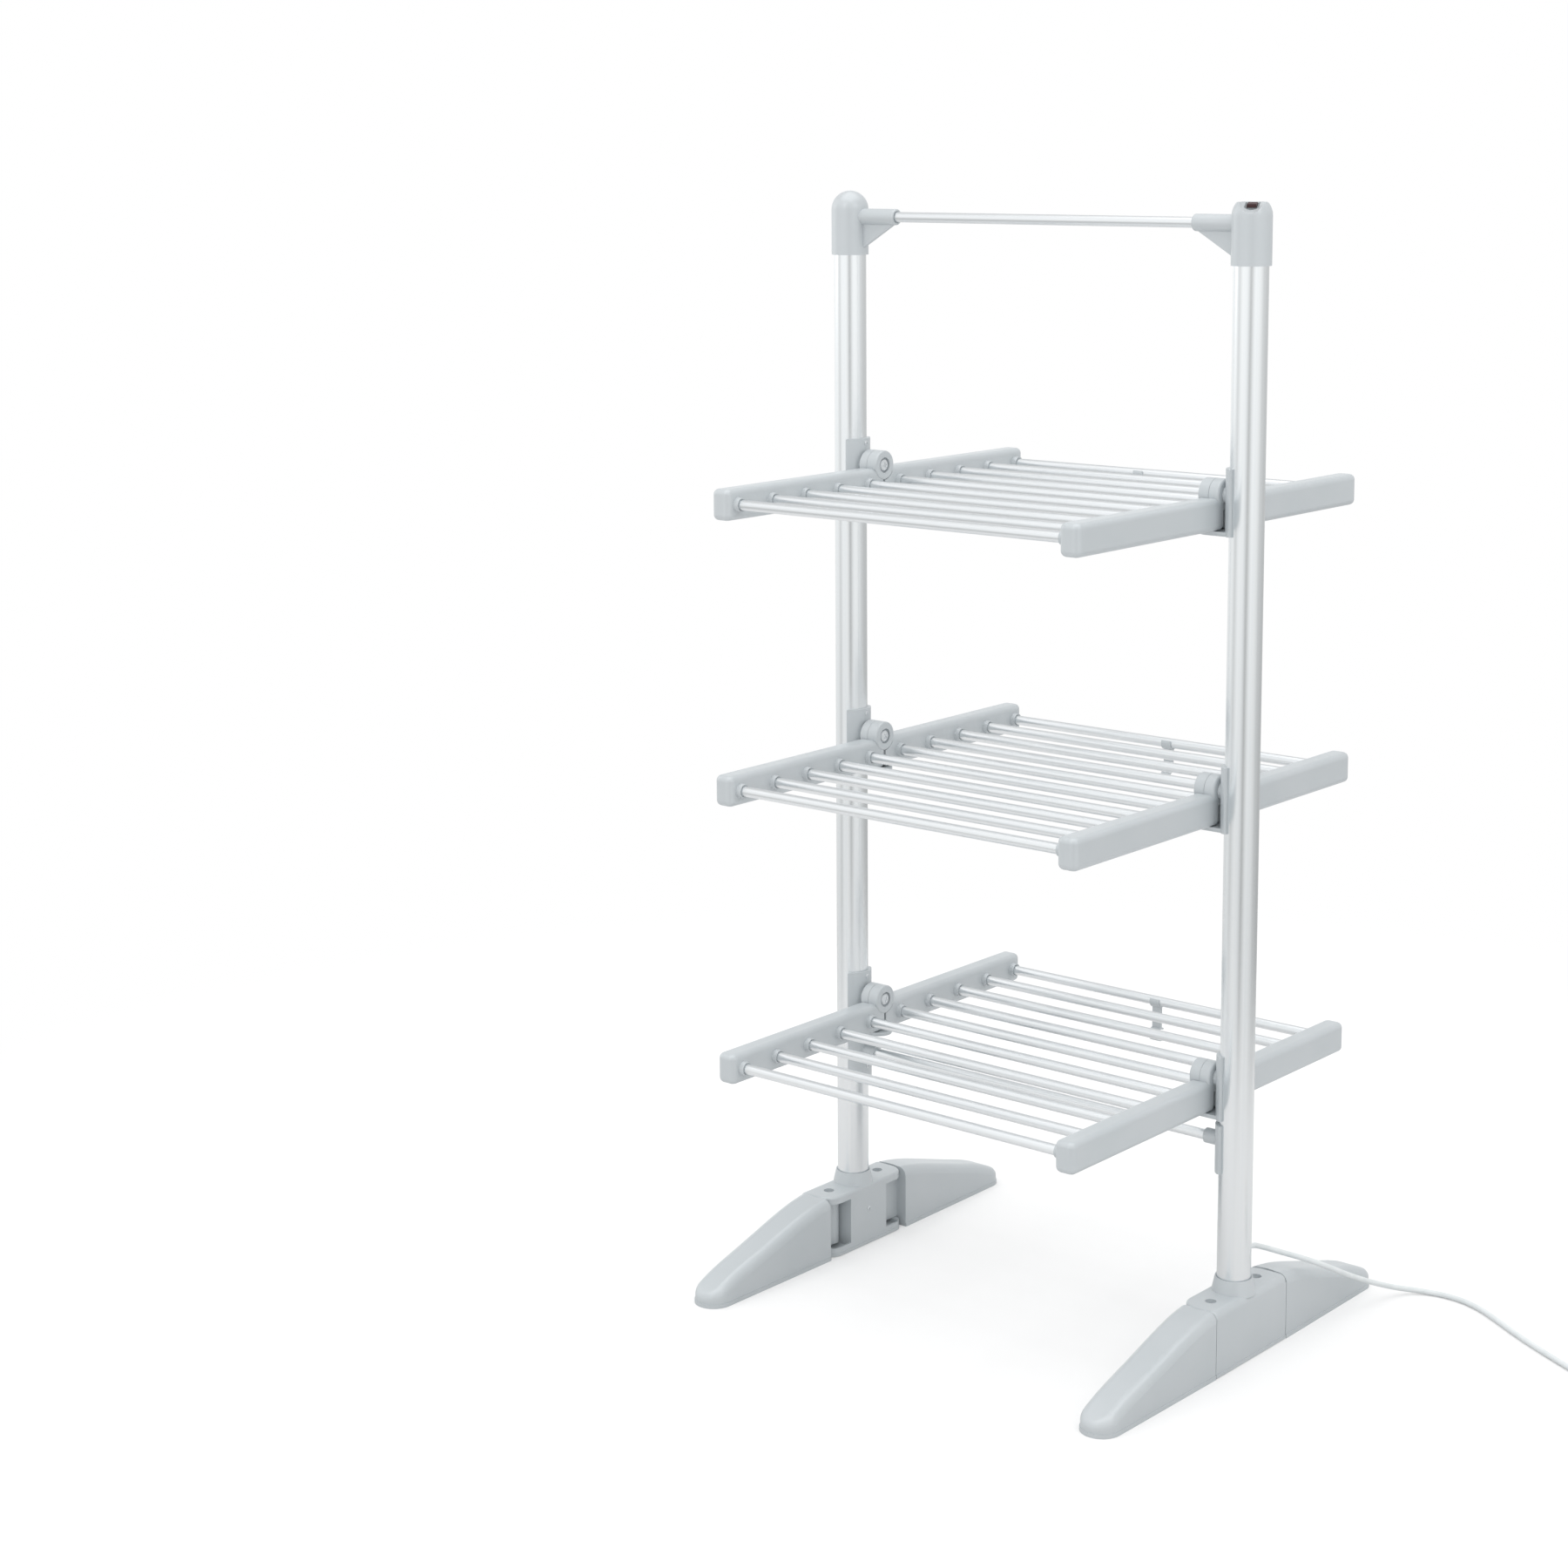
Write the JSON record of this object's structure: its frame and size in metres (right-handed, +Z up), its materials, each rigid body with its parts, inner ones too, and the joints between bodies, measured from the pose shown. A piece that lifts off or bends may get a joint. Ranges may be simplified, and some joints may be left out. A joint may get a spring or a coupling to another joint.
{
  "type": "heated clothes airer",
  "caption": "Free-standing heated clothes airer: tiers of aluminium bars on wings that fold up between two uprights, with swing-in feet and a switched mains lead.",
  "frame": {"origin": "on the floor, midway between the two uprights and between the leg tips", "axes": "+X along the bars towards the upright with the switch, +Y to the rear, +Z up"},
  "size_m": [1.1539, 0.6385, 1.42],
  "materials": {
    "grey_moulding": "satin moulded",
    "satin_aluminium": "satin anodised",
    "zinc_steel": "zinc plated",
    "black_plastic": "matt",
    "red_plastic": "gloss",
    "white_pvc": "smooth",
    "brass_pins": "polished",
    "heating_silicone": "matt"
  },
  "bodies": {
    "frame": {"left_upright": "satin_aluminium", "right_upright": "satin_aluminium", "left_top_cap": "grey_moulding", "right_top_cap": "grey_moulding", "top_rail": "satin_aluminium", "lower_rail": "satin_aluminium", "left_lower_rail_bracket": "grey_moulding", "right_lower_rail_bracket": "grey_moulding", "lower_left_hinge_bracket": "grey_moulding", "lower_right_hinge_bracket": "grey_moulding", "middle_left_hinge_bracket": "grey_moulding", "middle_right_hinge_bracket": "grey_moulding", "upper_left_hinge_bracket": "grey_moulding", "upper_right_hinge_bracket": "grey_moulding", "hinge_pins": "zinc_steel", "left_foot_hub": "grey_moulding", "right_foot_hub": "grey_moulding", "leg_pins": "zinc_steel", "switch_body": "black_plastic", "cord_gland": "white_pvc", "supply_wiring": "white_pvc", "power_cord": "white_pvc", "cord_coil": "white_pvc", "cord_tie": "black_plastic", "mains_plug": "white_pvc", "plug_pins": "brass_pins"},
    "lower_front_wing": {"lower_front_left_arm": "grey_moulding", "lower_front_right_arm": "grey_moulding", "lower_front_bars": "satin_aluminium", "lower_front_heating_cores": "heating_silicone"},
    "lower_rear_wing": {"lower_rear_left_arm": "grey_moulding", "lower_rear_right_arm": "grey_moulding", "lower_rear_bars": "satin_aluminium", "lower_rear_heating_cores": "heating_silicone"},
    "middle_front_wing": {"middle_front_left_arm": "grey_moulding", "middle_front_right_arm": "grey_moulding", "middle_front_bars": "satin_aluminium", "middle_front_heating_cores": "heating_silicone"},
    "middle_rear_wing": {"middle_rear_left_arm": "grey_moulding", "middle_rear_right_arm": "grey_moulding", "middle_rear_bars": "satin_aluminium", "middle_rear_heating_cores": "heating_silicone"},
    "upper_front_wing": {"upper_front_left_arm": "grey_moulding", "upper_front_right_arm": "grey_moulding", "upper_front_bars": "satin_aluminium", "upper_front_heating_cores": "heating_silicone"},
    "upper_rear_wing": {"upper_rear_left_arm": "grey_moulding", "upper_rear_right_arm": "grey_moulding", "upper_rear_bars": "satin_aluminium", "upper_rear_heating_cores": "heating_silicone"},
    "lower_wing_clip": {"lower_clip": "grey_moulding"},
    "middle_wing_clip": {"middle_clip": "grey_moulding"},
    "upper_wing_clip": {"upper_clip": "grey_moulding"},
    "right_front_foot_leg": {"right_front_leg": "grey_moulding"},
    "right_rear_foot_leg": {"right_rear_leg": "grey_moulding"},
    "left_front_foot_leg": {"left_front_leg": "grey_moulding"},
    "left_rear_foot_leg": {"left_rear_leg": "grey_moulding"},
    "rocker": {"switch_rocker": "red_plastic"}
  },
  "joints": [
    {"name": "lower_front_wing_fold", "type": "hinge", "parent": "frame", "child": "lower_front_wing", "pos_m": [0, 0, 0.349], "axis": [-1, 0, 0], "range_deg": [0, 90]},
    {"name": "lower_rear_wing_fold", "type": "hinge", "parent": "frame", "child": "lower_rear_wing", "pos_m": [0, 0, 0.349], "axis": [1, 0, 0], "range_deg": [0, 90]},
    {"name": "middle_front_wing_fold", "type": "hinge", "parent": "frame", "child": "middle_front_wing", "pos_m": [0, 0, 0.708], "axis": [-1, 0, 0], "range_deg": [0, 90]},
    {"name": "middle_rear_wing_fold", "type": "hinge", "parent": "frame", "child": "middle_rear_wing", "pos_m": [0, 0, 0.708], "axis": [1, 0, 0], "range_deg": [0, 90]},
    {"name": "upper_front_wing_fold", "type": "hinge", "parent": "frame", "child": "upper_front_wing", "pos_m": [0, 0, 1.067], "axis": [-1, 0, 0], "range_deg": [0, 90]},
    {"name": "upper_rear_wing_fold", "type": "hinge", "parent": "frame", "child": "upper_rear_wing", "pos_m": [0, 0, 1.067], "axis": [1, 0, 0], "range_deg": [0, 90]},
    {"name": "lower_clip_swing", "type": "hinge", "parent": "lower_rear_wing", "child": "lower_wing_clip", "pos_m": [-0.003, 0.288, 0.326], "axis": [1, 0, 0], "range_deg": [0, 180]},
    {"name": "middle_clip_swing", "type": "hinge", "parent": "middle_rear_wing", "child": "middle_wing_clip", "pos_m": [0.01, 0.288, 0.685], "axis": [1, 0, 0], "range_deg": [0, 180]},
    {"name": "upper_clip_swing", "type": "hinge", "parent": "upper_rear_wing", "child": "upper_wing_clip", "pos_m": [-0.04, 0.288, 1.044], "axis": [1, 0, 0], "range_deg": [0, 180]},
    {"name": "right_front_leg_swing", "type": "hinge", "parent": "frame", "child": "right_front_foot_leg", "pos_m": [0.302, -0.052, 0.04], "axis": [0, 0, -1], "range_deg": [0, 90]},
    {"name": "right_rear_leg_swing", "type": "hinge", "parent": "frame", "child": "right_rear_foot_leg", "pos_m": [0.302, 0.052, 0.04], "axis": [0, 0, 1], "range_deg": [0, 90]},
    {"name": "left_front_leg_swing", "type": "hinge", "parent": "frame", "child": "left_front_foot_leg", "pos_m": [-0.302, -0.052, 0.04], "axis": [0, 0, 1], "range_deg": [0, 90]},
    {"name": "left_rear_leg_swing", "type": "hinge", "parent": "frame", "child": "left_rear_foot_leg", "pos_m": [-0.302, 0.052, 0.04], "axis": [0, 0, -1], "range_deg": [0, 90]},
    {"name": "switch_rock", "type": "hinge", "parent": "frame", "child": "rocker", "pos_m": [0.30207, -0.00014, 1.40598], "axis": [0.9063, 0.4226, 0], "range_deg": [0, 20]}
  ]
}
